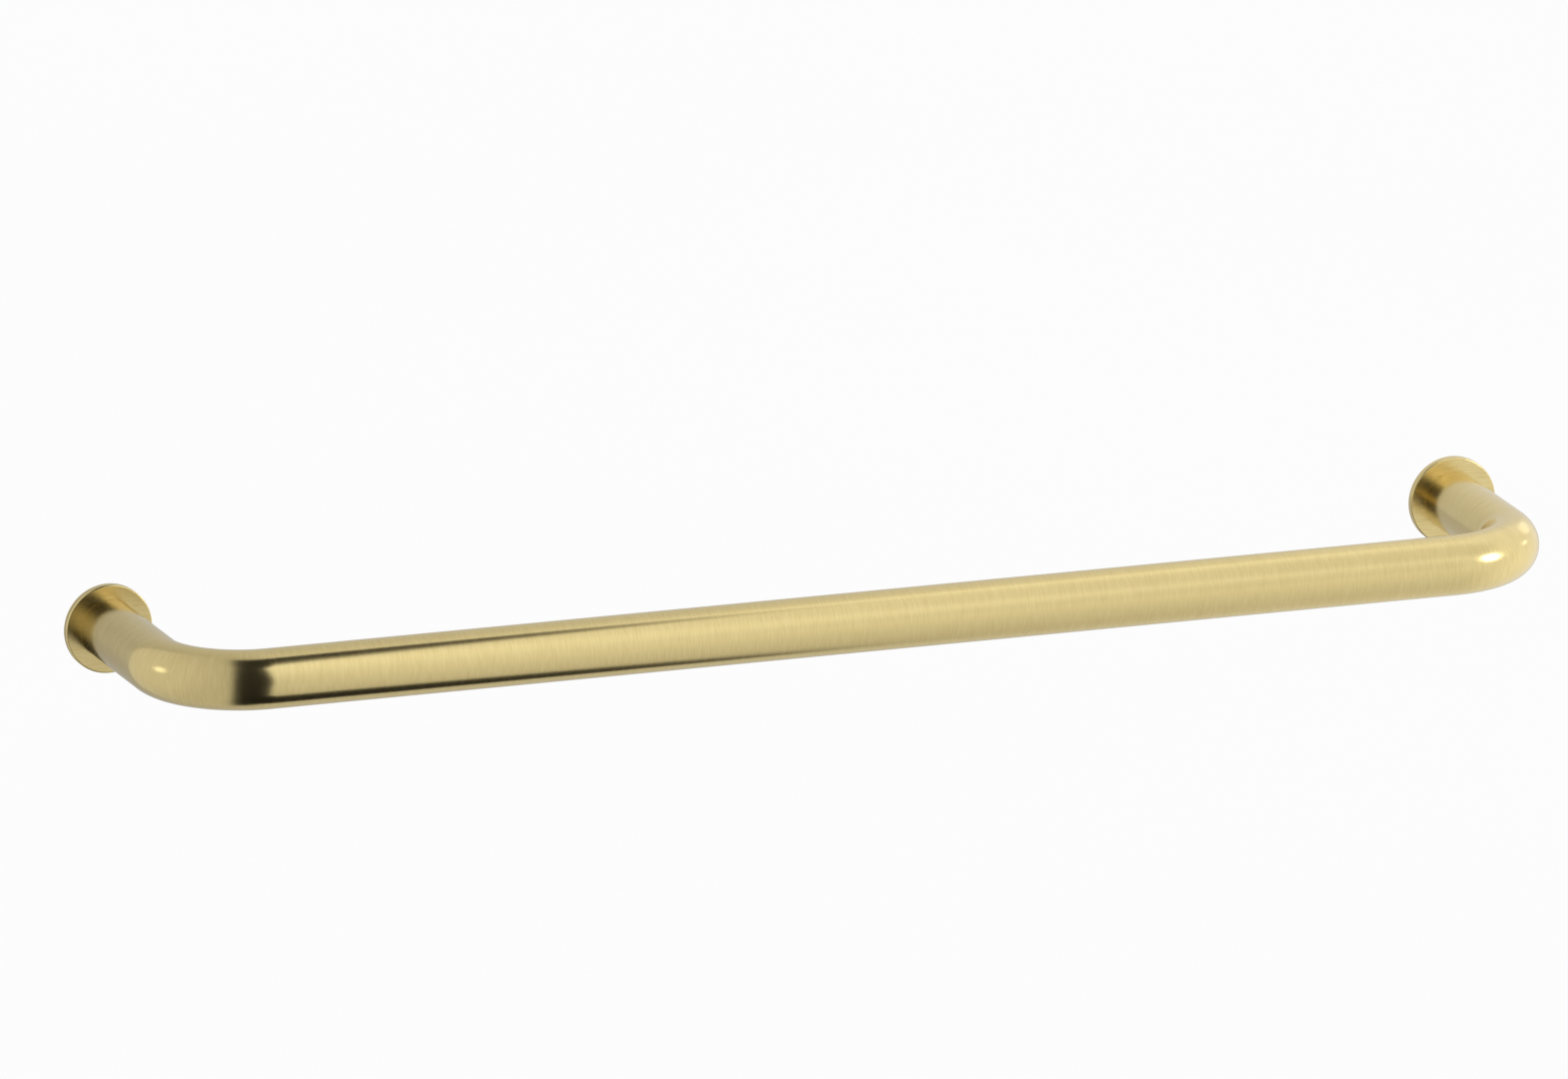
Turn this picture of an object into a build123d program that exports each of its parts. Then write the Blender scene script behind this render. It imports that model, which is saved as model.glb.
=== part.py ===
from build123d import *

import os

# Towel rail: one bent brass tube held off the wall by two round roses.
# Millimetres, +Z up. The origin lies on the wall, midway between the two roses.
# +X runs along the rail, and the rail stands out from the wall towards -Y.

# Rail tube
fixing_centres = 450.0  # between the middles of the two legs
tube_diameter = 19.0
tube_wall = 1.5
rail_projection = 74.5  # wall to the rail's centre line
bend_radius = 27.5  # of the tube's centre line

# Wall rose
rose_diameter = 28.5
rose_web = 1.3  # metal between the spigot's flange and the end of the tube
rose_edge_bevel = 0.3  # around the front of the rim
rose_bore_clearance = 0.15  # radial, around the spigot's barrel

# Wall spigot
spigot_diameter = 9.5
spigot_reach = 22.0  # wall to the front end of the barrel
flange_diameter = 20.0
flange_thickness = 1.2
flange_clearance = 0.15  # radial, in the back of the rose
wall_screw_hole = 4.5
countersink_land = 0.8  # rim left around the countersink
groove_distance = 12.0  # wall to the middle of the V-groove
groove_depth = 1.0

# Leg bush
bush_length = 20.0
bush_solder_gap = 0.05  # radial, in the tube
bush_slide_clearance = 0.1  # radial, on the spigot

# Grub screw
grub_diameter = 4.0
grub_tip_diameter = 0.8
grub_point_gap = 0.05  # between the cone point and the V-groove
grub_recess = 0.3  # below the outside of the tube
grub_thread_clearance = 0.05  # radial, in the tapped bush
grub_tube_clearance = 0.2  # radial, in the hole through the tube's wall
socket_across_flats = 2.0
socket_depth = 2.0

# Sizes that follow from the ones above
tube_radius = tube_diameter / 2
tube_bore_radius = tube_radius - tube_wall
spigot_radius = spigot_diameter / 2
groove_radius = spigot_radius - groove_depth
screw_hole_radius = wall_screw_hole / 2
rose_thickness = flange_thickness + rose_web  # the end of the tube stands on it
grub_tip_radius = grub_tip_diameter / 2
grub_inner_end = groove_radius + grub_point_gap + grub_tip_radius
grub_outer_end = tube_radius - grub_recess
left = Pos(-fixing_centres / 2, 0, 0)
right = Pos(fixing_centres / 2, 0, 0)


def turned(points):
    """Solid turned about the Y axis. Each point is a radius and a distance from the wall."""
    profile = make_face(Polyline(*[(radius, -distance) for radius, distance in points], close=True))
    return revolve(profile, Axis.Y)


def cross_hole(radius):
    """Drill from the leg's axis down through its underside, at the V-groove."""
    return Pos(0, -groove_distance, -tube_radius) * Cylinder(radius, 2 * tube_radius)


def rail_tube():
    """Tube bent to a U, with a hole under each leg for its grub screw."""
    half = fixing_centres / 2
    path = FilletPolyline(
        (-half, -rose_thickness),
        (-half, -rail_projection),
        (half, -rail_projection),
        (half, -rose_thickness),
        radius=bend_radius,
    )
    start = Plane(origin=path @ 0, z_dir=path % 0)
    outside = sweep(start * Circle(tube_radius), path)
    bore = sweep(start * Circle(tube_bore_radius), path)
    hole = cross_hole(grub_diameter / 2 + grub_tube_clearance)
    return outside - bore - left * hole - right * hole


def rose():
    """Round wall rose, with a bore for the spigot and a pocket behind for its flange."""
    rim = rose_diameter / 2
    pocket = flange_diameter / 2 + flange_clearance
    bore = spigot_radius + rose_bore_clearance
    return turned(
        [
            (pocket, 0),
            (rim, 0),
            (rim, rose_thickness - rose_edge_bevel),
            (rim - rose_edge_bevel, rose_thickness),
            (bore, rose_thickness),
            (bore, flange_thickness),
            (pocket, flange_thickness),
        ]
    )


def wall_spigot():
    """Turned spigot that is screwed to the wall, with a V-groove for the grub screw's point."""
    flange = flange_diameter / 2
    countersink = spigot_radius - countersink_land
    return turned(
        [
            (screw_hole_radius, 0),
            (flange, 0),
            (flange, flange_thickness),
            (spigot_radius, flange_thickness),
            (spigot_radius, groove_distance - groove_depth),
            (groove_radius, groove_distance),
            (spigot_radius, groove_distance + groove_depth),
            (spigot_radius, spigot_reach),
            (countersink, spigot_reach),
            (screw_hole_radius, spigot_reach - (countersink - screw_hole_radius)),
        ]
    )


def leg_bush():
    """Bush soldered into the end of a leg, tapped from below for the grub screw."""
    outside = tube_bore_radius - bush_solder_gap
    bore = spigot_radius + bush_slide_clearance
    front = rose_thickness + bush_length
    body = turned([(bore, rose_thickness), (outside, rose_thickness), (outside, front), (bore, front)])
    return body - cross_hole(grub_diameter / 2 + grub_thread_clearance)


def grub_screw():
    """Cone-point grub screw that stands under the leg, point up, with a hexagon socket."""
    radius = grub_diameter / 2
    outline = [
        (0, grub_inner_end),
        (grub_tip_radius, grub_inner_end),
        (radius, grub_inner_end + radius - grub_tip_radius),
        (radius, grub_outer_end),
        (0, grub_outer_end),
    ]
    profile = make_face(Polyline(*[(r, -depth) for r, depth in outline], close=True))
    body = revolve(Plane.XZ * profile, Axis.Z)
    hexagon = RegularPolygon(socket_across_flats / 2, 6, major_radius=False)
    socket = extrude(Pos(0, 0, -grub_outer_end) * hexagon, socket_depth)
    return Pos(0, -groove_distance, 0) * (body - socket)


os.makedirs("parts", exist_ok=True)

export_step(rail_tube(), "parts/rail_tube.step")
for name, piece in (("rose", rose()), ("wall_spigot", wall_spigot()), ("leg_bush", leg_bush())):
    export_step(left * piece, f"parts/left_{name}.step")
    export_step(right * piece, f"parts/right_{name}.step")
export_step(Compound(children=[left * grub_screw(), right * grub_screw()]), "parts/grub_screws.step")
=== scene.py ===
"""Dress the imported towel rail: brushed brass tube and roses, the fixing in the legs, and a soft studio.

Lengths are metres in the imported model's own frame: +X along the rail, +Y into the wall, +Z up.
"""
from __future__ import annotations

import logging
import math
from dataclasses import dataclass, field, replace
from enum import Enum
from typing import Any, Iterable, Mapping, Self, Sequence, Union

import bmesh
import bpy
from bpy.types import ID, Material, Node, NodeSocket, NodeTree, Object
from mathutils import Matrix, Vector

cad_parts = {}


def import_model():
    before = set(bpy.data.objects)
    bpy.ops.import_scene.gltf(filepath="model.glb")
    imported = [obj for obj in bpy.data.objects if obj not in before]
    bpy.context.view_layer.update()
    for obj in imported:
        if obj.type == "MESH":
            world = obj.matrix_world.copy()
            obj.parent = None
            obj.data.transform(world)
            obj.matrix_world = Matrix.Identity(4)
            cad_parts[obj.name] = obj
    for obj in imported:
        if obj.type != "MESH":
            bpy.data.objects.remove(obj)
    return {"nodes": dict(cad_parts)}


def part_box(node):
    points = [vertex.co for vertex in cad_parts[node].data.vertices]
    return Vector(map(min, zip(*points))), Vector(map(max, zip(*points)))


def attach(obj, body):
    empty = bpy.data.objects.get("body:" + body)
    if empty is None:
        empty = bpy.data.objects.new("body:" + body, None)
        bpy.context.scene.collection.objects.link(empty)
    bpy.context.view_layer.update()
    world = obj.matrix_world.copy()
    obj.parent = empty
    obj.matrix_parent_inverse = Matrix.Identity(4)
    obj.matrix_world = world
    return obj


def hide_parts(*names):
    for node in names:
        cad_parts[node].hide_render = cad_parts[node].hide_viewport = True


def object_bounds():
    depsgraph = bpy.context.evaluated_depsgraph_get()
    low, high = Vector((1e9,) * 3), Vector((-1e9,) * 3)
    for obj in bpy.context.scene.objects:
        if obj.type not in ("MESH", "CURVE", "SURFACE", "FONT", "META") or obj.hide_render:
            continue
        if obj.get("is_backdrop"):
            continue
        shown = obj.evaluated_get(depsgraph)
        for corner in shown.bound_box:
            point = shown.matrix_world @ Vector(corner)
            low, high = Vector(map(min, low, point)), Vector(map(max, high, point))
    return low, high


log = logging.getLogger("towel_rail")

MM = 0.001
BODY = "root"
LAY_MAP = "Lay"  # UV map that follows the brushing
SCREW_DISTANCE = 12.0 * MM  # wall to the grub screws, the tube's holes and the spigots' grooves
FLANGE_THICKNESS = 1.2 * MM  # of the spigots, which is the depth of the roses' pockets

Pair = tuple[float, float]
Colour = tuple[float, float, float]
Place = tuple[float, float, float]  # a point or a direction
Key = Union[int, str]
Ring = list[int]  # point numbers, in order round a piece


class Side(Enum):
    """The two ends of the rail, with the sign of their X."""

    LEFT = -1
    RIGHT = 1

    @property
    def word(self) -> str:
        """The word that starts the names of this end's pieces."""
        return self.name.lower()


@dataclass(frozen=True)
class Wire:
    """A node's output that takes part in Python sums. Each sum adds its Math node."""

    graph: Graph
    node: Node
    output: Key

    @property
    def socket(self) -> NodeSocket:
        """The output socket itself."""
        return self.node.outputs[self.output]

    def maths(self, operation: str, *others: Number) -> Wire:
        """A Math node with this value first."""
        return self.graph.maths(operation, self, *others)

    def __add__(self, other: Number) -> Wire:
        """This value plus another."""
        return self.maths("ADD", other)

    __radd__ = __add__

    def __sub__(self, other: Number) -> Wire:
        """This value less another."""
        return self.maths("SUBTRACT", other)

    def __rsub__(self, other: Number) -> Wire:
        """A number less this value."""
        return self.graph.maths("SUBTRACT", other, self)

    def __mul__(self, other: Number) -> Wire:
        """This value times another."""
        return self.maths("MULTIPLY", other)

    __rmul__ = __mul__

    def __truediv__(self, other: Number) -> Wire:
        """This value over another."""
        return self.maths("DIVIDE", other)

    def __rtruediv__(self, other: Number) -> Wire:
        """A number over this value."""
        return self.graph.maths("DIVIDE", other, self)

    def largest(self, other: Number) -> Wire:
        """The larger of this value and another."""
        return self.maths("MAXIMUM", other)

    def smallest(self, other: Number) -> Wire:
        """The smaller of this value and another."""
        return self.maths("MINIMUM", other)

    def step(self, start: float, end: float) -> Wire:
        """A smooth rise: 0 up to start, and 1 from end on."""
        ends = {"Value": self, "From Min": start, "From Max": end}
        return self.graph.node("ShaderNodeMapRange", {"interpolation_type": "SMOOTHSTEP"}, ends)


Number = Union[float, Wire]


class Graph:
    """A node tree that is being wired."""

    def __init__(self, tree: NodeTree) -> None:
        """Start from an empty tree."""
        self.tree = tree
        tree.nodes.clear()

    def node(
        self,
        kind: str,
        settings: Mapping[str, Any] | None = None,
        sockets: Mapping[Key, Any] | None = None,
        output: Key = 0,
    ) -> Wire:
        """Add a node.

        Args:
            kind: Blender's name for the node's type.
            settings: Properties of the node, which are set first.
            sockets: A value or a wire for each input, by name or number.
            output: The output that the wire stands for.

        Returns:
            A wire from that output.
        """
        made = self.tree.nodes.new(kind)
        for name, value in (settings or {}).items():
            setattr(made, name, value)
        for key, value in (sockets or {}).items():
            if isinstance(value, Wire):
                self.tree.links.new(value.socket, made.inputs[key])
            else:
                made.inputs[key].default_value = value
        return Wire(self, made, output)

    def maths(self, operation: str, *values: Number) -> Wire:
        """A Math node on one, two or three values."""
        return self.node("ShaderNodeMath", {"operation": operation}, dict(enumerate(values)))

    def vector(self, operation: str, *values: Any, output: Key = 0) -> Wire:
        """A Vector Math node on one or two vectors."""
        return self.node("ShaderNodeVectorMath", {"operation": operation}, dict(enumerate(values)), output)

    def parts(self, vector: Wire) -> tuple[Wire, Wire, Wire]:
        """The X, Y and Z of a vector."""
        x = self.node("ShaderNodeSeparateXYZ", None, {0: vector}, "X")
        return x, Wire(self, x.node, "Y"), Wire(self, x.node, "Z")

    def noise(self, x: Number, y: Number, z: Number) -> Wire:
        """Soft noise from about 0.2 to 0.8, at a place given in noise lengths."""
        place = self.node("ShaderNodeCombineXYZ", None, {"X": x, "Y": y, "Z": z})
        return self.node("ShaderNodeTexNoise", None, {"Vector": place, "Scale": 1.0})

    def blend(self, factor: Number, one: Colour, two: Colour) -> Wire:
        """A colour between two others: the first at a factor of 0, the second at 1."""
        # A Mix node has its colours in sockets 6 and 7, and the result for them in output 2
        colours = {0: factor, 6: self.opaque(one), 7: self.opaque(two)}
        return self.node("ShaderNodeMix", {"data_type": "RGBA"}, colours, 2)

    @staticmethod
    def opaque(colour: Colour) -> tuple[float, float, float, float]:
        """A colour with its alpha."""
        return (*colour, 1.0)

    def surface(self, shader: Wire) -> None:
        """Make a shader the material's surface."""
        self.node("ShaderNodeOutputMaterial", None, {"Surface": shader})


def new_material(name: str) -> tuple[Material, Graph]:
    """Make an empty material.

    Args:
        name: The material's name.

    Returns:
        The material and its node tree.
    """
    material = bpy.data.materials.new(name)
    material.use_nodes = True
    return material, Graph(material.node_tree)


def add_object(name: str, data: ID) -> Object:
    """Put a mesh or a camera into the scene.

    Args:
        name: The object's name.
        data: The mesh or camera.

    Returns:
        The object.
    """
    made = bpy.data.objects.new(name, data)
    bpy.context.scene.collection.objects.link(made)
    return made


@dataclass(frozen=True)
class Metal:
    """A bare metal: its colour where a scratch is shallow and where it is deep, and its gloss."""

    pale: Colour
    deep: Colour
    roughness: float
    roughness_rise: float  # added where the scratches stand highest
    scratch_height: float  # from the lowest to the highest

    def shader(self, tone: Wire, scratch: Wire) -> Wire:
        """The metal's shader.

        Args:
            tone: 0 for the deep colour to 1 for the pale one.
            scratch: Height of the scratches, 0 to 1.

        Returns:
            The shader.
        """
        graph = tone.graph
        colour = graph.blend(tone, self.deep, self.pale)
        rough = self.roughness + self.roughness_rise * scratch
        heights = {"Strength": 1.0, "Distance": self.scratch_height, "Height": scratch}
        normal = graph.node("ShaderNodeBump", None, heights)
        sockets = {"Base Color": colour, "Metallic": 1.0, "Roughness": rough, "Normal": normal}
        return graph.node("ShaderNodeBsdfPrincipled", None, sockets)


BRUSHED_BRASS = Metal(
    pale=(0.840, 0.688, 0.332),
    deep=(0.740, 0.594, 0.268),
    roughness=0.172,
    roughness_rise=0.024,
    scratch_height=0.0005 * MM,
)
ROSE_BRASS = replace(BRUSHED_BRASS, roughness=0.200, roughness_rise=0.040, scratch_height=0.0006 * MM)
TURNED_BRASS = Metal(
    pale=(0.800, 0.630, 0.300),
    deep=(0.680, 0.520, 0.225),
    roughness=0.190,
    roughness_rise=0.080,
    scratch_height=0.0020 * MM,
)
STAINLESS_STEEL = Metal(
    pale=(0.620, 0.615, 0.605),
    deep=(0.480, 0.475, 0.470),
    roughness=0.240,
    roughness_rise=0.100,
    scratch_height=0.0010 * MM,
)


@dataclass(frozen=True)
class Brushing:
    """Brushed brass. Widths are across the strokes and lengths along them, in millimetres."""

    fine_width: float = 0.38
    fine_length: float = 5.0
    broad_width: float = 1.8
    broad_length: float = 9.0
    wander: float = 0.5  # how far the strokes stray to the side
    wander_length: float = 7.0  # over which they do
    fine_share: float = 0.76  # of the fine strokes in the tone, the rest is the broad ones'
    contrast: float = 1.7

    def strokes(self, across: Wire, along_one: Wire, along_two: Number) -> tuple[Wire, Wire]:
        """Strokes in the brass.

        Args:
            across: Place across the strokes, in millimetres.
            along_one: Place along them.
            along_two: A second coordinate along them, for strokes that close on themselves.

        Returns:
            The tone of the brass and the height of its fine scratches.
        """
        def streaks(place: Wire, width: float, length: float) -> Wire:
            """Noise drawn out along the strokes."""
            return place.graph.noise(place / width, along_one / length, along_two / length)

        drift = streaks(across, self.wander_length, self.wander_length)
        wavy = across + self.wander * (drift - 0.5)
        fine = streaks(wavy, self.fine_width, self.fine_length)
        broad = streaks(wavy, self.broad_width, self.broad_length)
        mixed = self.fine_share * fine + (1.0 - self.fine_share) * broad
        tone = 0.5 + self.contrast * (mixed - 0.5)
        return tone.step(0.0, 1.0), fine


@dataclass(frozen=True)
class TubeBrushing(Brushing):
    """Strokes that run round the tube."""

    radius: float = field(kw_only=True)  # of the tube, in millimetres

    def material(self) -> Material:
        """Brass brushed round the tube, read from the tube's UV map.

        Returns:
            The material.
        """
        material, graph = new_material("brass_brushed_round")
        along, turn, _ = graph.parts(graph.node("ShaderNodeUVMap", {"uv_map": LAY_MAP}))
        angle = turn * math.tau
        ring = self.radius * angle.maths("COSINE"), self.radius * angle.maths("SINE")
        graph.surface(BRUSHED_BRASS.shader(*self.strokes(along, *ring)))
        return material


@dataclass(frozen=True)
class RoseBrushing(Brushing):
    """Straight strokes across the face of a rose, and round its rim."""

    fine_width: float = 0.45
    fine_length: float = 7.0
    contrast: float = 3.4

    def material(self) -> Material:
        """Brass brushed straight, read from the rose's UV map.

        Returns:
            The material.
        """
        material, graph = new_material("brass_brushed_straight")
        along, across, _ = graph.parts(graph.node("ShaderNodeUVMap", {"uv_map": LAY_MAP}))
        graph.surface(ROSE_BRASS.shader(*self.strokes(across, along, 0.0)))
        return material


@dataclass(frozen=True)
class TurnedFinish:
    """Fine tool marks around a piece that was turned about its leg's axis."""

    leg_x: float
    pitch: float = 0.16 * MM  # of the tool marks
    patch: float = 4.0 * MM  # size of a stain
    stain_share: float = 0.5  # of the stains in the tone, the rest is the tool marks'
    tone_range: Pair = (0.3, 0.7)  # noise that comes out deep, and pale

    def material(self) -> Material:
        """Turned brass, read from the place in the model.

        Returns:
            The material.
        """
        material, graph = new_material("brass_turned")
        x, y, z = graph.parts(graph.node("ShaderNodeTexCoord", output="Object"))
        off_axis = x.maths("ABSOLUTE") - self.leg_x
        reach = (off_axis * off_axis + z * z).maths("SQRT")
        marks = graph.noise(reach / self.pitch, y / self.pitch, 0.0)
        stain = graph.noise(x / self.patch, y / self.patch, z / self.patch)
        mixed = (1.0 - self.stain_share) * marks + self.stain_share * stain
        graph.surface(TURNED_BRASS.shader(mixed.step(*self.tone_range), marks))
        return material


@dataclass(frozen=True)
class SteelFinish:
    """Plain stainless steel, slightly clouded."""

    grain: float = 0.25 * MM
    cloud: float = 1.2 * MM
    tone_range: Pair = (0.25, 0.75)  # noise that comes out deep, and pale

    def material(self) -> Material:
        """Stainless steel, read from the place in the model.

        Returns:
            The material.
        """
        material, graph = new_material("steel_plain")
        x, y, z = graph.parts(graph.node("ShaderNodeTexCoord", output="Object"))
        grain = graph.noise(x / self.grain, y / self.grain, z / self.grain)
        cloud = graph.noise(x / self.cloud, y / self.cloud, z / self.cloud)
        graph.surface(STAINLESS_STEEL.shader(cloud.step(*self.tone_range), grain))
        return material


class Skin:
    """Points, faces and UVs of one piece, gathered before its mesh is made."""

    SHARP = math.radians(30)

    def __init__(self) -> None:
        """Start with nothing."""
        self.points: list[Vector] = []
        self.faces: list[tuple[int, ...]] = []
        self.lays: list[Pair] = []

    def add(self, point: Vector) -> int:
        """Add a point and give its number."""
        self.points.append(point)
        return len(self.points) - 1

    def ring(self, points: Iterable[Vector]) -> Ring:
        """Add points and give their numbers."""
        return [self.add(point) for point in points]

    def face(self, corners: Sequence[int], lays: Sequence[Pair]) -> None:
        """Add a face with the UV of each corner."""
        self.faces.append(tuple(corners))
        self.lays.extend(lays)

    def band(self, one: Ring, two: Ring, lay_one: Sequence[Pair], lay_two: Sequence[Pair]) -> None:
        """Join two closed rings with quads.

        Args:
            one: Points of the first ring.
            two: Points of the second ring, as many.
            lay_one: UVs of the first ring, with one more at the end to close it.
            lay_two: UVs of the second ring.
        """
        for k, start in enumerate(one):
            turn = (k + 1) % len(one)
            corners = (start, one[turn], two[turn], two[k])
            self.face(corners, (lay_one[k], lay_one[k + 1], lay_two[k + 1], lay_two[k]))

    def cap(self, ring: Ring, middle: Vector) -> None:
        """Close a ring with a fan of triangles.

        Args:
            ring: Points of the ring.
            middle: Where the triangles meet.
        """
        hub = self.add(middle)
        for k, start in enumerate(ring):
            self.face((start, ring[(k + 1) % len(ring)], hub), ((0.0, 0.0),) * 3)

    def make(self, name: str) -> Object:
        """Make the mesh and its object.

        Args:
            name: The piece's name.

        Returns:
            The object, with smooth faces that part at sharp edges.
        """
        mesh = bpy.data.meshes.new(name)
        mesh.from_pydata(self.points, [], self.faces)
        layer = mesh.uv_layers.new(name=LAY_MAP)
        layer.data.foreach_set("uv", [part for lay in self.lays for part in lay])
        edit = bmesh.new()
        edit.from_mesh(mesh)
        bmesh.ops.recalc_face_normals(edit, faces=edit.faces)
        for face in edit.faces:
            face.smooth = True
        for edge in edit.edges:
            edge.smooth = edge.calc_face_angle(0.0) < self.SHARP
        edit.to_mesh(mesh)
        edit.free()
        return add_object(name, mesh)


def dress(piece: Object, material: Material, slot: str, node: str) -> Object:
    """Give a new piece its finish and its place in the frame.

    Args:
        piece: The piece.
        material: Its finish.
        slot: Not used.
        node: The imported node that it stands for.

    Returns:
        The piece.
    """
    piece.data.materials.append(material)
    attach(piece, BODY)
    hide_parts(node)
    return piece


def spread(start: float, end: float, count: int) -> list[float]:
    """A count of evenly spaced values after start, up to end."""
    return [start + (end - start) * (k + 1) / count for k in range(count)]


@dataclass
class RailTube:
    """The bent tube: two legs, two bends and the rail between them, with a screw hole under each leg."""

    leg_x: float
    foot: float  # wall to the ends of the tube
    projection: float  # wall to the rail's centre line
    radius: float
    wall: float = 1.5 * MM
    bend_radius: float = 27.5 * MM
    hole_distance: float = SCREW_DISTANCE
    hole_radius: float = 2.2 * MM
    hole_bevel: float = 0.15 * MM
    end_bevel: float = 0.10 * MM
    turns: int = 96  # points round the tube
    patch_cells: int = 10  # cells across the square round a hole
    patch_rings: int = 4  # rings of faces from that square to the hole
    leg_cells: tuple[int, int] = (4, 12)  # along a leg, before and after the square
    bend_cells: int = 64
    rail_cells: int = 60
    stations: list[float] = field(default_factory=list)  # places of the cross-sections along the tube
    squares: list[int] = field(default_factory=list)  # first cross-section of the square at each hole

    @classmethod
    def from_frame(cls) -> RailTube:
        """Take the tube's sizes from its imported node.

        Returns:
            The tube, not yet built.
        """
        low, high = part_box("rail_tube")
        radius = (high.z - low.z) / 2
        return cls(high.x - radius, -high.y, -low.y - radius, radius)

    @property
    def leg_length(self) -> float:
        """Length of a straight leg."""
        return self.projection - self.bend_radius - self.foot

    @property
    def bend_length(self) -> float:
        """Length of a bend along its centre line."""
        return self.bend_radius * math.pi / 2

    @property
    def rail_length(self) -> float:
        """Length of the straight rail."""
        return 2 * (self.leg_x - self.bend_radius)

    @property
    def patch_half(self) -> float:
        """Half the side of the square round a hole, a whole number of cells round the tube."""
        return self.radius * math.tau / self.turns * self.patch_cells / 2

    @property
    def patch_turn(self) -> int:
        """Place round the tube at which that square begins, so that its middle is underneath."""
        return self.turns // 4 - self.patch_cells // 2

    def lay_out(self) -> None:
        """Place the cross-sections along the left half of the tube, then mirror them."""
        hole = self.hole_distance - self.foot
        rail_start = self.leg_length + self.bend_length
        total = 2 * rail_start + self.rail_length
        half = [0.0, self.end_bevel]
        half += spread(half[-1], hole - self.patch_half, self.leg_cells[0])
        self.squares = [len(half) - 1]
        half += spread(half[-1], hole + self.patch_half, self.patch_cells)
        half += spread(half[-1], self.leg_length, self.leg_cells[1])
        half += spread(half[-1], rail_start, self.bend_cells)
        rail = spread(rail_start, total - rail_start, self.rail_cells)[:-1]
        self.stations = half + rail + [total - s for s in reversed(half)]
        self.squares.append(len(self.stations) - 1 - self.squares[0] - self.patch_cells)

    def point(self, s: float, angle: float, radius: float) -> Vector:
        """A point on the tube.

        Args:
            s: Distance along the centre line from the left end.
            angle: Angle round it: 0 to the outside of the bends, a quarter turn up.
            radius: Distance from the centre line.

        Returns:
            The point.
        """
        corner_x = self.leg_x - self.bend_radius
        corner_y = self.bend_radius - self.projection
        middle = self.leg_length + self.bend_length + self.rail_length / 2
        from_end = min(s, 2 * middle - s)
        sign = -1 if s < middle else 1
        bend = (from_end - self.leg_length) / self.bend_radius
        if bend <= 0:
            centre, out = Vector((sign * self.leg_x, -self.foot - from_end, 0)), Vector((sign, 0, 0))
        elif bend < math.pi / 2:
            out = Vector((sign * math.cos(bend), -math.sin(bend), 0))
            centre = Vector((sign * corner_x, corner_y, 0)) + self.bend_radius * out
        else:
            centre, out = Vector((s - middle, -self.projection, 0)), Vector((0, -1, 0))
        return centre + radius * (math.cos(angle) * out + math.sin(angle) * Vector((0, 0, 1)))

    def angle(self, turn: float) -> float:
        """Angle round the tube of a place counted in points, starting inside the bends."""
        return math.tau * turn / self.turns - math.pi

    def lay(self, s: float, angle: float) -> Pair:
        """UV of a place: millimetres along the tube and share of a turn round it."""
        return s / MM, angle / math.tau

    def square(self, first: int) -> list[tuple[int, int]]:
        """The border of the square round a hole.

        Args:
            first: Number of the square's first cross-section.

        Returns:
            Cross-section and place round the tube of each border point, in order.
        """
        cells, low = self.patch_cells, self.patch_turn
        sides = [(first + k, low) for k in range(cells)]
        sides += [(first + cells, low + k) for k in range(cells)]
        sides += [(first + cells - k, low + cells) for k in range(cells)]
        return sides + [(first, low + cells - k) for k in range(cells)]

    def patch(self, skin: Skin, rows: list[dict[int, int]], first: int, radius: float, hole: float) -> Ring:
        """Fill the square round a hole, up to the hole's edge.

        Args:
            skin: Where the faces go.
            rows: Point numbers of each cross-section.
            first: Number of the square's first cross-section.
            radius: Radius of this surface of the tube.
            hole: Radius of the hole in it.

        Returns:
            Point numbers round the hole.
        """
        border = self.square(first)
        down = -math.pi / 2
        middle = (self.stations[first] + self.stations[first + self.patch_cells]) / 2
        starts = [(self.stations[i], self.angle(j)) for i, j in border]
        ends = []
        for s, angle in starts:
            way = math.atan2(s - middle, radius * (angle - down))
            ends.append((middle + hole * math.sin(way), down + math.asin(hole * math.cos(way) / radius)))
        ring = [rows[i][j] for i, j in border]
        places = starts
        for part in spread(0.0, 1.0, self.patch_rings):
            inner = [(a + (c - a) * part, b + (d - b) * part) for (a, b), (c, d) in zip(starts, ends)]
            numbers = skin.ring(self.point(s, angle, radius) for s, angle in inner)
            lays = [self.lay(*place) for place in places + places[:1]]
            inner_lays = [self.lay(*place) for place in inner + inner[:1]]
            skin.band(ring, numbers, lays, inner_lays)
            ring, places = numbers, inner
        return ring

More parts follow.
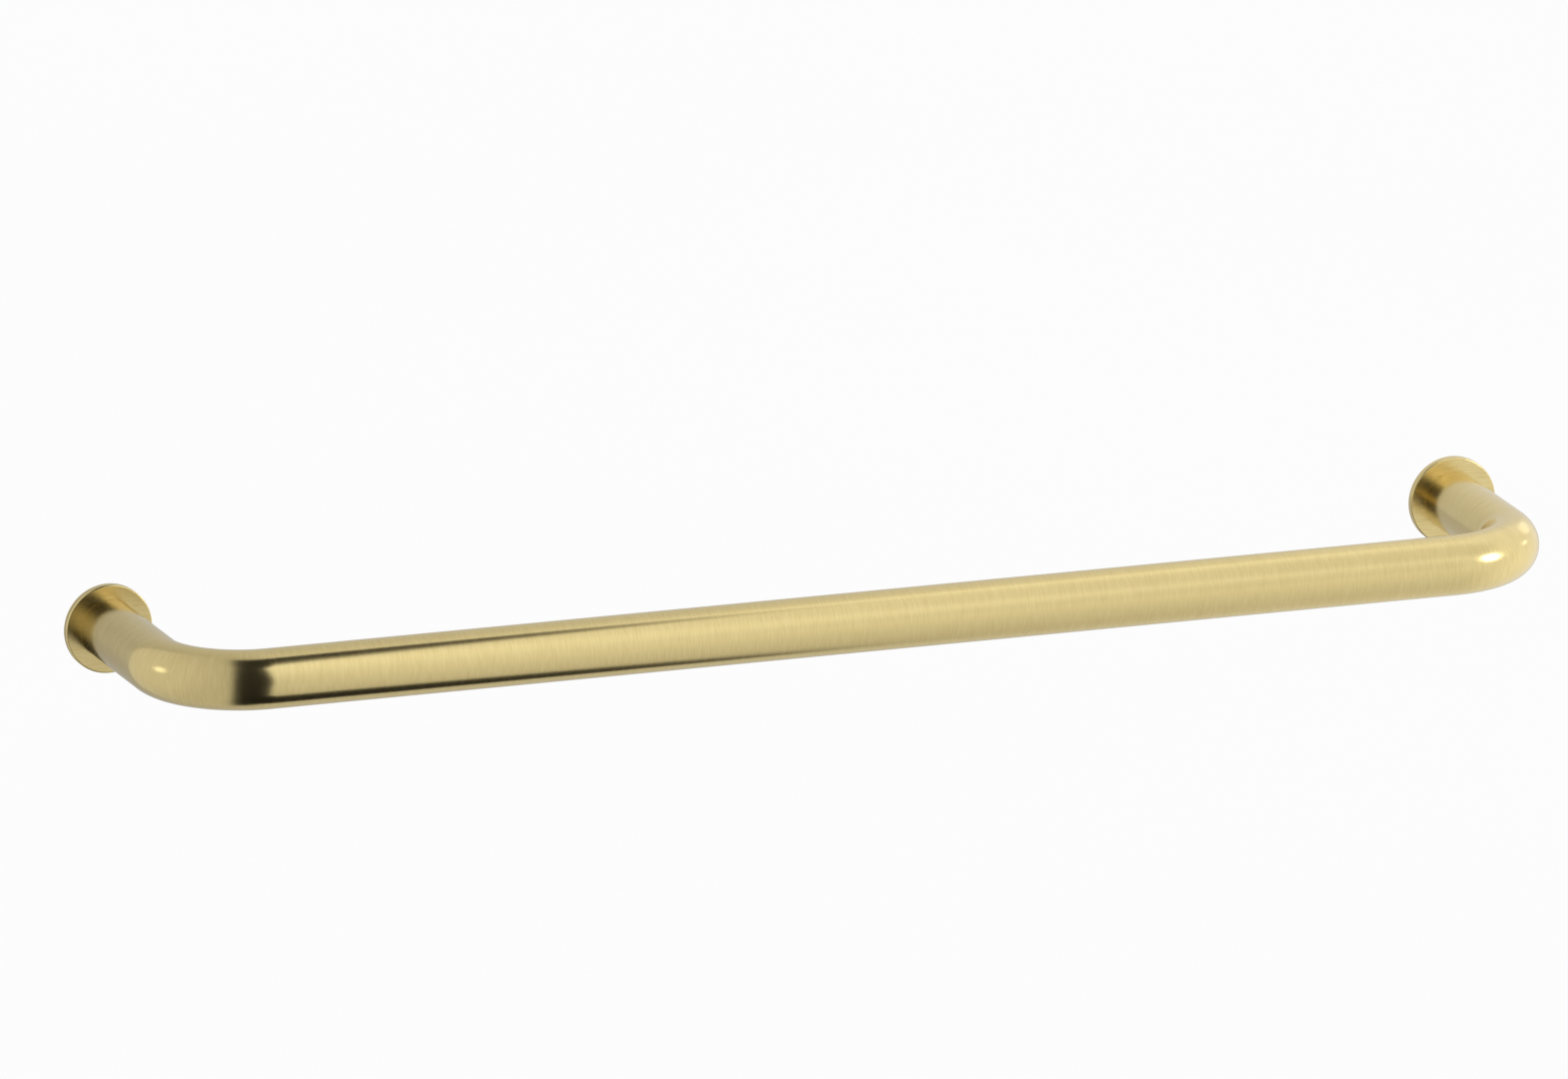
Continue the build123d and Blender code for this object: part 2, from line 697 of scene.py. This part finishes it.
    def surface(
        self, skin: Skin, radius: float, end_radius: float, hole: float
    ) -> tuple[list[Ring], list[Ring]]:
        """Make the tube's outside or its bore.

        Args:
            skin: Where the faces go.
            radius: Radius of the surface.
            end_radius: Its radius at the two ends of the tube.
            hole: Radius of the screw holes in it.

        Returns:
            The rings at its two ends, and the rings round its two holes.
        """
        cells, low = self.patch_cells, self.patch_turn
        last = len(self.stations) - 1
        rows = []
        for i, s in enumerate(self.stations):
            inside = any(first < i < first + cells for first in self.squares)
            r = end_radius if i in (0, last) else radius
            row = {}
            for j in range(self.turns):
                if not (inside and low < j < low + cells):
                    row[j] = skin.add(self.point(s, self.angle(j), r))
            rows.append(row)
        for i in range(last):
            cut = any(first <= i < first + cells for first in self.squares)
            s, t = self.stations[i], self.stations[i + 1]
            for j in range(self.turns):
                if cut and low <= j < low + cells:
                    continue
                k = (j + 1) % self.turns
                a, b = self.angle(j), self.angle(j + 1)
                corners = (rows[i][j], rows[i + 1][j], rows[i + 1][k], rows[i][k])
                skin.face(corners, (self.lay(s, a), self.lay(t, a), self.lay(t, b), self.lay(s, b)))
        holes = [self.patch(skin, rows, first, radius, hole) for first in self.squares]
        return [list(rows[0].values()), list(rows[last].values())], holes

    def build(self) -> Object:
        """Make the tube.

        Returns:
            The tube, closed at its ends and round its holes.
        """
        self.lay_out()
        skin = Skin()
        bore = self.radius - self.wall
        outer_hole = self.hole_radius + self.hole_bevel
        outer_ends, outer_holes = self.surface(skin, self.radius, self.radius - self.end_bevel, outer_hole)
        inner_ends, inner_holes = self.surface(skin, bore, bore, self.hole_radius)
        for outer, inner, s in zip(outer_ends, inner_ends, (self.stations[0], self.stations[-1])):
            lays = [self.lay(s, self.angle(j)) for j in range(self.turns + 1)]
            skin.band(outer, inner, lays, lays)
        for outer, inner, first in zip(outer_holes, inner_holes, self.squares):
            rim = []
            for number in inner:
                x, y, _ = skin.points[number]
                side = abs(x) - self.leg_x
                rim.append(Vector((x, y, self.hole_bevel - math.sqrt(self.radius**2 - side**2))))
            lays = [self.lay(self.stations[first], self.angle(0.0))] * (len(inner) + 1)
            middle = skin.ring(rim)
            skin.band(outer, middle, lays, lays)
            skin.band(middle, inner, lays, lays)
        finish = TubeBrushing(radius=self.radius / MM)
        return dress(skin.make("rail_tube_brushed"), finish.material(), "brushed_tube", "rail_tube")


@dataclass
class TurnedPiece:
    """A piece turned about the axis of a leg. There is one at each end of the rail."""

    NODE = ""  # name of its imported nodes, after the word for the side
    FINISH = ""  # what the finish adds to that name
    SLOT = ""  # a slot name for that finish, which dress takes but does not use

    leg_x: float
    radius: float  # where it is widest
    reach: float  # wall to its far end
    turns: int = 128
    edge_break: float = 0.08 * MM
    edge_share: float = 0.2  # most of a side that a broken edge may take
    flatness: float = 0.001 * MM  # a face that rises less than this counts as flat

    @classmethod
    def from_frame(cls, leg_x: float) -> Self:
        """Take the piece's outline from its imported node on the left."""
        low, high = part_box(f"{Side.LEFT.word}_{cls.NODE}")
        return cls(leg_x, (high.z - low.z) / 2, high.y - low.y)

    def profile(self) -> list[Pair]:
        """The piece's closed section: radius and distance from the wall of each corner."""
        raise NotImplementedError

    def eased(self) -> list[Pair]:
        """Break the corners of the section.

        Returns:
            Four points for each corner: its two broken edges, and two more that keep the sides straight.
        """
        profile = self.profile()
        eased = []
        for k, corner in enumerate(profile):
            here = Vector(corner)
            back = Vector(profile[k - 1]) - here
            on = Vector(profile[(k + 1) % len(profile)]) - here
            for way, share in ((back, 2.0), (back, 1.0), (on, 1.0), (on, 2.0)):
                step = share * min(self.edge_break, self.edge_share * way.length)
                eased.append(tuple(here + way.normalized() * step))
        return eased

    def lathe(self, name: str, side: Side) -> Object:
        """Turn the section about a leg's axis.

        Args:
            name: The piece's name.
            side: Which leg.

        Returns:
            The turned piece. Its flat faces have UVs across them, the rest round them.
        """
        skin = Skin()
        profile = self.eased()
        middle = side.value * self.leg_x
        angles = [math.tau * k / self.turns - math.pi / 2 for k in range(self.turns + 1)]
        rings = []
        for r, d in profile:
            points = [Vector((middle + r * math.cos(a), -d, r * math.sin(a))) for a in angles[:-1]]
            rings.append(skin.ring(points))
        length = 0.0
        for k, (r, d) in enumerate(profile):
            after = (k + 1) % len(profile)
            next_r, next_d = profile[after]
            further = length + math.hypot(next_r - r, next_d - d)
            if math.isclose(d, next_d, abs_tol=self.flatness):
                lays = [[(q * math.cos(a) / MM, q * math.sin(a) / MM) for a in angles] for q in (r, next_r)]
            else:
                ends = ((r, length), (next_r, further))
                lays = [[(q * a / MM, along / MM) for a in angles] for q, along in ends]
            skin.band(rings[k], rings[after], *lays)
            length = further
        return skin.make(name)

    def build(self, side: Side, material: Material) -> Object:
        """Make the piece for one end of the rail, in its finish."""
        node = f"{side.word}_{self.NODE}"
        return dress(self.lathe(f"{node}_{self.FINISH}", side), material, self.SLOT, node)


@dataclass
class WallRose(TurnedPiece):
    """Thin round wall rose, with a pocket behind for the spigot's flange."""

    NODE = "rose"
    FINISH = "brushed"
    SLOT = "brushed_rose"

    bevel: float = 0.3 * MM
    bore_radius: float = 4.9 * MM
    pocket_radius: float = 10.15 * MM
    pocket_depth: float = FLANGE_THICKNESS

    def profile(self) -> list[Pair]:
        """Section of the rose.

        Returns:
            Radius and distance from the wall of each corner.
        """
        return [
            (self.pocket_radius, 0.0),
            (self.radius, 0.0),
            (self.radius, self.reach - self.bevel),
            (self.radius - self.bevel, self.reach),
            (self.bore_radius, self.reach),
            (self.bore_radius, self.pocket_depth),
            (self.pocket_radius, self.pocket_depth),
        ]


@dataclass
class WallSpigot(TurnedPiece):
    """Turned spigot that is screwed to the wall, with a V-groove round its barrel."""

    NODE = "wall_spigot"
    FINISH = "turned"
    SLOT = "turned_brass"

    flange_thickness: float = FLANGE_THICKNESS
    barrel_radius: float = 4.75 * MM
    hole_radius: float = 2.25 * MM
    land: float = 0.8 * MM  # rim left round the countersink
    groove_distance: float = SCREW_DISTANCE
    groove_depth: float = 1.0 * MM

    def profile(self) -> list[Pair]:
        """Section of the spigot.

        Returns:
            Radius and distance from the wall of each corner.
        """
        sink = self.barrel_radius - self.land
        return [
            (self.hole_radius, 0.0),
            (self.radius, 0.0),
            (self.radius, self.flange_thickness),
            (self.barrel_radius, self.flange_thickness),
            (self.barrel_radius, self.groove_distance - self.groove_depth),
            (self.barrel_radius - self.groove_depth, self.groove_distance),
            (self.barrel_radius, self.groove_distance + self.groove_depth),
            (self.barrel_radius, self.reach),
            (sink, self.reach),
            (self.hole_radius, self.reach - (sink - self.hole_radius)),
        ]


@dataclass
class GrubScrews:
    """The two grub screws under the legs, with their threads, cone points and hexagon sockets."""

    leg_x: float
    distance: float  # wall to the screw's axis
    low: float  # Z of the socket end
    high: float  # Z of the point
    radius: float
    pitch: float = 0.7 * MM
    thread_depth: float = 0.38 * MM
    thread_flank: float = 1.2  # 1 for a sharp root, more for a flat one
    tip_radius: float = 0.4 * MM
    end_chamfer: float = 0.35 * MM
    socket_flat: float = 1.0 * MM  # axis to a flat of the hexagon
    socket_depth: float = 2.0 * MM
    socket_cone: float = 0.4 * MM
    turns: int = 48
    rows_per_pitch: int = 14

    @classmethod
    def from_frame(cls, leg_x: float) -> GrubScrews:
        """Take the screws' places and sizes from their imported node."""
        low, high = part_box("grub_screws")
        return cls(leg_x, -(low.y + high.y) / 2, low.z, high.z, (high.y - low.y) / 2)

    def thread_radius(self, z: float, turn: float) -> float:
        """Radius of the threaded screw.

        Args:
            z: Height.
            turn: Share of a turn round the screw.

        Returns:
            The radius there, cut back at the point and at the socket end.
        """
        phase = (z / self.pitch - turn) % 1.0
        thread = self.radius - self.thread_depth * min(1.0, abs(2 * phase - 1) * self.thread_flank)
        cone = self.tip_radius + self.high - z
        chamfer = self.radius - self.end_chamfer + z - self.low
        return min(thread, cone, chamfer)

    def hexagon(self, angle: float) -> float:
        """Distance from the axis to the hexagon's side in a direction."""
        return self.socket_flat / math.cos((angle + math.pi / 6) % (math.pi / 3) - math.pi / 6)

    def screw(self, skin: Skin, x: float) -> None:
        """Add one screw.

        Args:
            skin: Where its faces go.
            x: Place along the rail.
        """
        turns = [k / self.turns for k in range(self.turns)]
        lays = [(0.0, 0.0)] * (self.turns + 1)

        def ring(z: float, radii: Sequence[float]) -> Ring:
            """Add a ring of points at one height."""
            spokes = [(r * math.cos(math.tau * t), r * math.sin(math.tau * t)) for t, r in zip(turns, radii)]
            return skin.ring(Vector((x + east, north - self.distance, z)) for east, north in spokes)

        hexagon = [self.hexagon(math.tau * turn) for turn in turns]
        mouth = self.low + self.socket_depth
        rings = [ring(mouth, hexagon), ring(self.low, hexagon)]
        rows = math.ceil((self.high - self.low) / self.pitch * self.rows_per_pitch)
        for z in [self.low, *spread(self.low, self.high, rows)]:
            rings.append(ring(z, [self.thread_radius(z, turn) for turn in turns]))
        for one, two in zip(rings, rings[1:]):
            skin.band(one, two, lays, lays)
        skin.cap(rings[0], Vector((x, -self.distance, mouth + self.socket_cone)))
        skin.cap(rings[-1], Vector((x, -self.distance, self.high)))

    def build(self) -> Object:
        """Make both screws.

        Returns:
            The screws, as one piece.
        """
        skin = Skin()
        for side in Side:
            self.screw(skin, side.value * self.leg_x)
        piece = skin.make("grub_screws_threaded")
        return dress(piece, SteelFinish().material(), "screw_steel", "grub_screws")


def direction(azimuth: float, elevation: float) -> Vector:
    """The direction at an azimuth from -Y towards +X and an elevation, both in degrees."""
    a, e = math.radians(azimuth), math.radians(elevation)
    return Vector((math.sin(a) * math.cos(e), -math.cos(a) * math.cos(e), math.sin(e)))


@dataclass(frozen=True)
class Sight:
    """A direction from the middle of the light tent, with its parts."""

    way: Wire
    x: Wire
    y: Wire
    z: Wire

    @classmethod
    def along_way(cls, way: Wire) -> Sight:
        """Take a direction apart."""
        return cls(way, *way.graph.parts(way))

    def towards(self, aim: Place | Vector) -> Wire:
        """How far the direction points along another one."""
        return self.way.graph.vector("DOT_PRODUCT", self.way, aim, output="Value")

    def above(self, height: float) -> Wire:
        """How far the direction rises above a height, or 0."""
        return (self.z - height).largest(0.0)

    def below(self, height: float) -> Wire:
        """How far the direction drops below a height, or 0."""
        return (height - self.z).largest(0.0)


@dataclass(frozen=True)
class Glow:
    """A round glow on the tent or, with a level below 0, a shade.

    Azimuth runs from -Y towards +X. It, the elevation, the radius and the soft edge are in degrees.
    """

    azimuth: float
    elevation: float
    radius: float
    edge: float
    level: float

    def light(self, sight: Sight) -> Wire:
        """What the glow adds to the tent's brightness.

        Args:
            sight: The direction.

        Returns:
            The glow's level, which fades to 0 over its edge.
        """
        outer, inner = math.radians(self.radius + self.edge), math.radians(self.radius)
        nearness = sight.towards(direction(self.azimuth, self.elevation))
        return self.level * nearness.step(math.cos(outer), math.cos(inner))


@dataclass(frozen=True)
class RightWall:
    """Right wall of the tent. Its front edge runs down the middle of the tent's front."""

    edge: float = 0.015  # half the width over which an edge fades
    front: float = -0.014  # X of the front edge
    swell: float = 0.03  # how much further right that edge is at the middle than low down
    swell_heights: Pair = (-0.35, -0.05)
    lean: float = 0.11  # how fast it leans to the left above lean_height
    lean_height: float = 0.2
    heel: float = -0.735  # Z below which it swings to the right
    heel_slope: float = 1.45
    crown: float = 0.80  # Z above which it swings to the right
    crown_slope: float = 1.5
    top: float = 0.965  # Z of the top edge
    level: float = 0.876
    level_rise: float = 0.28  # brighter upwards, near the front
    level_side: float = 0.12  # brighter out at the side

    def cover(self, sight: Sight) -> Wire:
        """Where the wall stands.

        Args:
            sight: The direction.

        Returns:
            1 on the wall and 0 off it.
        """
        front = self.front + self.swell * sight.z.step(*self.swell_heights)
        front = front - self.lean * sight.above(self.lean_height)
        front = front + self.heel_slope * sight.below(self.heel) + self.crown_slope * sight.above(self.crown)
        under_top = (self.top - sight.z).step(-self.edge, self.edge)
        return (sight.x - front).step(-self.edge, self.edge) * under_top

    def light(self, sight: Sight) -> Wire:
        """Brightness of the wall."""
        far = sight.x * sight.x
        return self.level + self.level_rise * sight.z * (1.0 - far) + self.level_side * far * far


@dataclass(frozen=True)
class BackWall:
    """Flat back of the tent, which falls off to the left and downwards. Places on it are in metres."""

    depth: float = 0.34  # from the tent's middle
    edge: float = 0.015  # half the width over which its edge fades
    tilt: float = 0.02  # of its top edge away from the rail
    flare: float = 0.40  # of its top and bottom edges, towards the left
    crown: float = 0.80  # Z above which the top edge draws back
    crown_slope: float = 0.20
    nearest: float = 0.02  # least Y that counts as behind the rail
    level: float = 0.64
    level_rise: float = 0.40  # brighter to the right
    upper_rise: float = 0.35  # and more so high up, to the right of upper_start
    upper_start: float = 0.10
    upper_heights: Pair = (0.08, 0.35)
    dusk: float = 0.04  # slow fading downwards
    dusk_heights: Pair = (-0.02, 0.30)
    shade: float = 0.11  # drop below the level of the rail
    shade_rise: float = 0.18  # deeper to the right
    shade_most: float = 0.13
    shade_heights: Pair = (-0.06, -0.02)
    foot_glow: float = 0.08  # brighter again lower down
    foot_heights: Pair = (-0.50, -0.15)
    end_glow: float = 0.16  # brighter at the right end
    end_places: Pair = (0.45, 0.55)

    def cover(self, sight: Sight) -> Wire:
        """Where the wall stands.

        Args:
            sight: The direction.

        Returns:
            1 on the wall and 0 off it.
        """
        edge = self.tilt * sight.z + self.flare * sight.x * sight.z.maths("ABSOLUTE")
        edge = edge + self.crown_slope * sight.above(self.crown)
        return (sight.y - edge).step(-self.edge, self.edge)

    def light(self, sight: Sight) -> Wire:
        """Brightness of the wall.

        Args:
            sight: The direction, which counts as far to the right if it points to the front.

        Returns:
            The brightness at the place that the direction meets.
        """
        stretch = self.depth / sight.y.largest(self.nearest)
        across = stretch * (sight.x + (0.0 - sight.y).largest(0.0))
        up = stretch * sight.z
        upper = self.upper_rise * (across - self.upper_start).largest(0.0) * up.step(*self.upper_heights)
        shade = (self.shade + self.shade_rise * across).largest(0.0).smallest(self.shade_most)
        level = self.level + self.level_rise * across + upper
        level = level - self.dusk * (1.0 - up.step(*self.dusk_heights))
        level = level - shade * (1.0 - up.step(*self.shade_heights))
        level = level + self.foot_glow * (1.0 - up.step(*self.foot_heights))
        return level + self.end_glow * across.step(*self.end_places)


@dataclass(frozen=True)
class LeftWall:
    """Left wall of the tent, from its soft front edge to its corner with the back."""

    facing: Place = (-0.887, 0.462, 0.0)  # points across the front edge, on to the wall
    front: float = 0.148  # how far a direction points along facing at the front edge
    front_edge: float = 0.06  # half the width over which that edge fades
    bow: float = 0.08  # how much the edge bows back at top and bottom
    lean: float = 0.025  # how much less so at the top
    crown: float = 0.80  # Z above which it swings back
    crown_slope: float = 0.30
    heel: float = -0.735  # Z below which it swings back
    heel_slope: float = 0.10
    corner: Place = (-0.652, -0.758, 0.0)  # points across the corner, away from the back
    corner_edge: float = 0.035
    corner_splay: float = 0.12  # how much the corner moves on to the back at top and bottom
    level: float = 0.59
    glow: Glow = Glow(-108.0, 8.0, 12.0, 50.0, 0.12)  # brighter in its middle

    def cover(self, sight: Sight) -> Wire:
        """Where the wall stands.

        Args:
            sight: The direction.

        Returns:
            1 on the wall and 0 off it.
        """
        front = self.front + self.bow * sight.z * sight.z - self.lean * sight.above(0.0)
        front = front + self.crown_slope * sight.above(self.crown) + self.heel_slope * sight.below(self.heel)
        corner = sight.towards(self.corner) + self.corner_splay * sight.z.maths("ABSOLUTE")
        behind_front = (sight.towards(self.facing) - front).step(-self.front_edge, self.front_edge)
        return behind_front * corner.step(-self.corner_edge, self.corner_edge)

    def light(self, sight: Sight) -> Wire:
        """Brightness of the wall."""
        return self.level + self.glow.light(sight)


@dataclass(frozen=True)
class LightTent:
    """Tent of light about the rail, round but for its flat back, seen only in the rail's reflections.

    Its right, left and back walls are lit, and a dark gap runs down the front, from top to bottom.
    """

    centre: Place = (0.0, -0.04, 0.0)
    radius: float = 0.9
    fineness: int = 5  # how often its mesh is divided
    gap_level: float = 0.018
    right: RightWall = RightWall()
    back: BackWall = BackWall()
    left: LeftWall = LeftWall()
    glows: tuple[Glow, ...] = (
        Glow(60.0, 16.0, 6.2, 3.0, 5.5),  # lamp, seen in the right bend
        Glow(118.8, 13.7, 3.5, 3.5, 0.42),  # glow on that bend's shoulder
        Glow(100.9, 10.0, 1.3, 1.2, 1.9),  # small glint at its outside
        Glow(-99.4, 11.3, 2.7, 3.8, 0.95),  # glint in the left bend
        Glow(103.0, -28.0, 5.0, 38.0, 0.08),  # faint light, low on the right
        Glow(60.0, 52.0, 5.0, 25.0, -0.19),  # shade, high on the right
        Glow(30.0, 16.0, 3.0, 14.0, -0.09),  # shade, to the right of the front
    )

    def light(self, sight: Sight) -> Wire:
        """Brightness of the tent.

        Args:
            sight: The direction.

        Returns:
            The brightness in that direction.
        """
        level = self.right.light(sight).smallest(self.back.light(sight))
        lit = self.right.cover(sight).largest(self.back.cover(sight)) * level
        total = lit.largest(self.left.cover(sight) * self.left.light(sight)).largest(self.gap_level)
        for glow in self.glows:
            total = total + glow.light(sight)
        return total

    def build(self) -> None:
        """Pitch the tent."""
        mesh = bpy.data.meshes.new("light_tent")
        edit = bmesh.new()
        bmesh.ops.create_icosphere(edit, subdivisions=self.fineness, radius=self.radius)
        for point in edit.verts:
            point.co.y = min(point.co.y, self.back.depth)
        edit.to_mesh(mesh)
        edit.free()
        tent = add_object("light_tent", mesh)
        tent.location = self.centre
        material, graph = new_material("tent_light")
        place = graph.node("ShaderNodeTexCoord", output="Object")
        sight = Sight.along_way(graph.vector("NORMALIZE", place))
        graph.surface(graph.node("ShaderNodeEmission", None, {"Color": self.light(sight)}))
        mesh.materials.append(material)
        tent.visible_camera = False
        tent.visible_diffuse = False
        tent.visible_shadow = False
        tent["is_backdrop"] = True


@dataclass
class Studio:
    """Pale floor well below the rail, and an even white sky that lights it."""

    floor_height: float = -0.5
    floor_half: float = 25.0
    floor_pale: Colour = (0.955, 0.955, 0.955)
    floor_dull: Colour = (0.945, 0.945, 0.945)
    floor_cloud: float = 0.6
    sky: Colour = (1.0, 1.0, 1.0)
    sky_level: float = 1.03

    def floor(self) -> None:
        """Lay the floor, which shows from above only and stays out of the rail's reflections."""
        h, z = self.floor_half, self.floor_height
        mesh = bpy.data.meshes.new("floor")
        mesh.from_pydata([(-h, -h, z), (h, -h, z), (h, h, z), (-h, h, z)], [], [(0, 1, 2, 3)])
        floor = add_object("floor", mesh)
        material, graph = new_material("floor_pale")
        x, y, _ = graph.parts(graph.node("ShaderNodeTexCoord", output="Object"))
        cloud = graph.noise(x / self.floor_cloud, y / self.floor_cloud, 0.0)
        colour = graph.blend(cloud, self.floor_dull, self.floor_pale)
        matt = {"Base Color": colour, "Roughness": 1.0, "Specular IOR Level": 0.0}
        shader = graph.node("ShaderNodeBsdfPrincipled", None, matt)
        clear = graph.node("ShaderNodeBsdfTransparent")
        under = graph.node("ShaderNodeNewGeometry", output="Backfacing")
        graph.surface(graph.node("ShaderNodeMixShader", None, {0: under, 1: shader, 2: clear}))
        mesh.materials.append(material)
        floor.visible_glossy = False
        floor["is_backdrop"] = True

    def light(self) -> None:
        """Light the sky and show colours as they are."""
        world = bpy.data.worlds.new("studio_sky")
        world.use_nodes = True
        graph = Graph(world.node_tree)
        even = {"Color": graph.opaque(self.sky), "Strength": self.sky_level}
        sky = graph.node("ShaderNodeBackground", None, even)
        graph.node("ShaderNodeOutputWorld", None, {"Surface": sky})
        bpy.context.scene.world = world
        bpy.context.scene.view_settings.view_transform = "Standard"


@dataclass(frozen=True)
class Viewpoint:
    """The camera: to the left of the rail's middle and above it, far off with a long lens."""

    azimuth: float = 19.92  # degrees from -Y towards -X
    elevation: float = 15.19
    distance: float = 13.009
    frame_width: float = 0.4937  # what the picture's width covers at the rail
    picture: Pair = (1570.0, 1080.0)
    origin_pixel: Pair = (783.5, 563.5)  # where the part's origin lies in the picture
    clip: Pair = (0.1, 100.0)  # nearest and furthest that it sees

    def place(self) -> None:
        """Set up the scene's camera."""
        back = direction(-self.azimuth, self.elevation)
        turn = (-back).to_track_quat("-Z", "Y")
        pixel = self.frame_width / self.picture[0]
        right = (self.picture[0] / 2 - self.origin_pixel[0]) * pixel
        up = (self.origin_pixel[1] - self.picture[1] / 2) * pixel
        data = bpy.data.cameras.new("camera")
        data.lens = data.sensor_width * self.distance / self.frame_width
        data.clip_start, data.clip_end = self.clip
        camera = add_object("camera", data)
        camera.rotation_mode = "QUATERNION"
        camera.rotation_quaternion = turn
        camera.location = back * self.distance + turn @ Vector((right, up, 0))
        bpy.context.scene.camera = camera


def finish_bushes(nodes: Mapping[str, Object], material: Material) -> list[Object]:
    """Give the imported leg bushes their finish.

    Args:
        nodes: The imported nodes.
        material: Turned brass.

    Returns:
        The bushes.
    """
    bushes = [nodes[f"{side.word}_leg_bush"] for side in Side]
    for bush in bushes:
        for slot in bush.material_slots:
            slot.material = material
    return bushes


def main() -> None:
    """Build the pieces round the frame, report them, and set up the studio and the camera."""
    logging.basicConfig(level=logging.INFO, format="%(name)s: %(message)s")
    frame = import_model()
    cad_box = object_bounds()
    tube = RailTube.from_frame()
    pieces = [tube.build()]
    rose = WallRose.from_frame(tube.leg_x)
    spigot = WallSpigot.from_frame(tube.leg_x)
    rose_finish = RoseBrushing().material()
    turned = TurnedFinish(tube.leg_x).material()
    for side in Side:
        pieces += [rose.build(side, rose_finish), spigot.build(side, turned)]
    pieces.append(GrubScrews.from_frame(tube.leg_x).build())
    pieces += finish_bushes(frame["nodes"], turned)
    for piece in pieces:
        log.info("%s: %d faces, %s", piece.name, len(piece.data.polygons), piece.active_material.name)
    studio = Studio()
    studio.floor()
    studio.light()
    LightTent().build()
    Viewpoint().place()
    visual_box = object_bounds()
    boxes = {"cad": cad_box, "visual": visual_box}
    {name: [list(corner) for corner in box] for name, box in boxes.items()}


if __name__ == "__main__":
    main()
